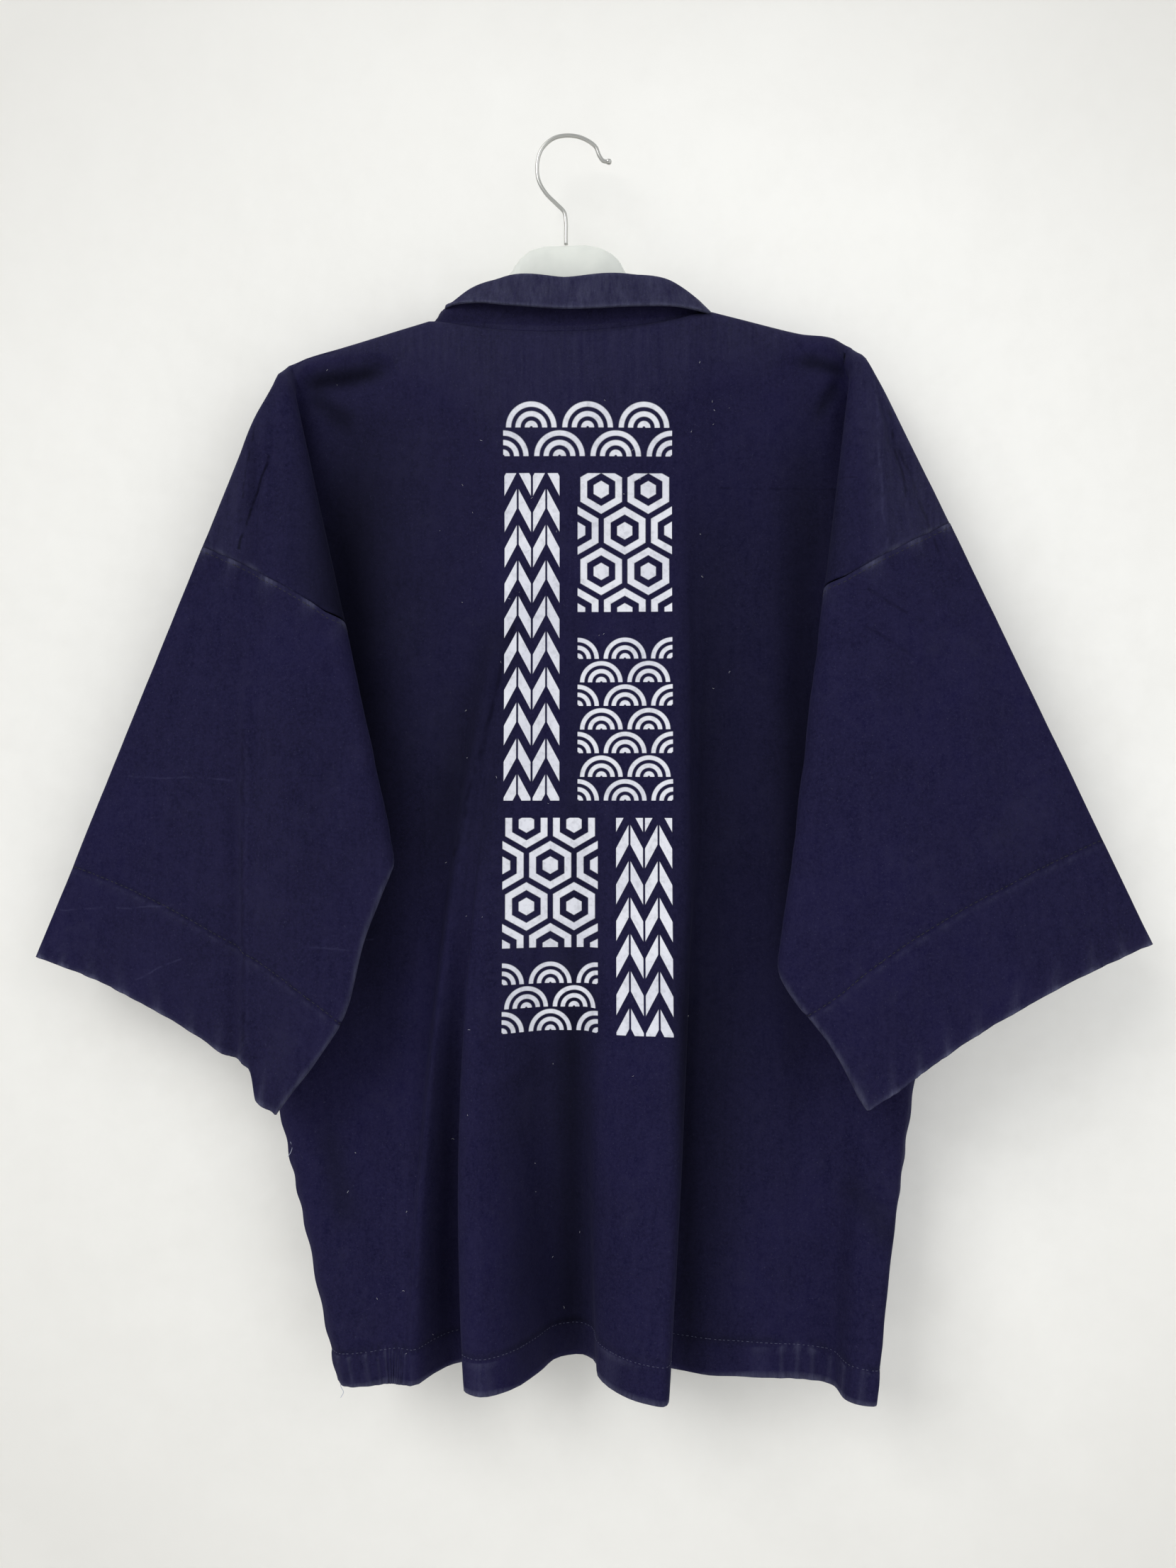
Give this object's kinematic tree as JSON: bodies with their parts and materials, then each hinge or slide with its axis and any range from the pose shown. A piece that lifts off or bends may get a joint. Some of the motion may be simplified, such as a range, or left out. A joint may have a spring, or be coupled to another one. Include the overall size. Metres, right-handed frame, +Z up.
{
  "type": "kimono jacket on a hanger",
  "caption": "Navy cotton festival jacket with wide sleeves folded behind it, seen from the back on a plastic hanger with a wire hook.",
  "frame": {"origin": "where the top of the hanger's wire hook bears, on its underside", "axes": "+Z up, +Y towards the wall that the jacket hangs against, where its fronts are, +X to the right when facing its printed back"},
  "size_m": [0.7586, 0.1067, 0.8699],
  "materials": {
    "cloth": "matte",
    "plastic": "satin",
    "wire": "satin"
  },
  "bodies": {
    "root": {"back": "cloth", "front_left": "cloth", "front_right": "cloth", "sleeve_left": "cloth", "sleeve_right": "cloth", "collar": "cloth", "hanger_body": "plastic", "hanger_hook": "wire"}
  },
  "joints": []
}
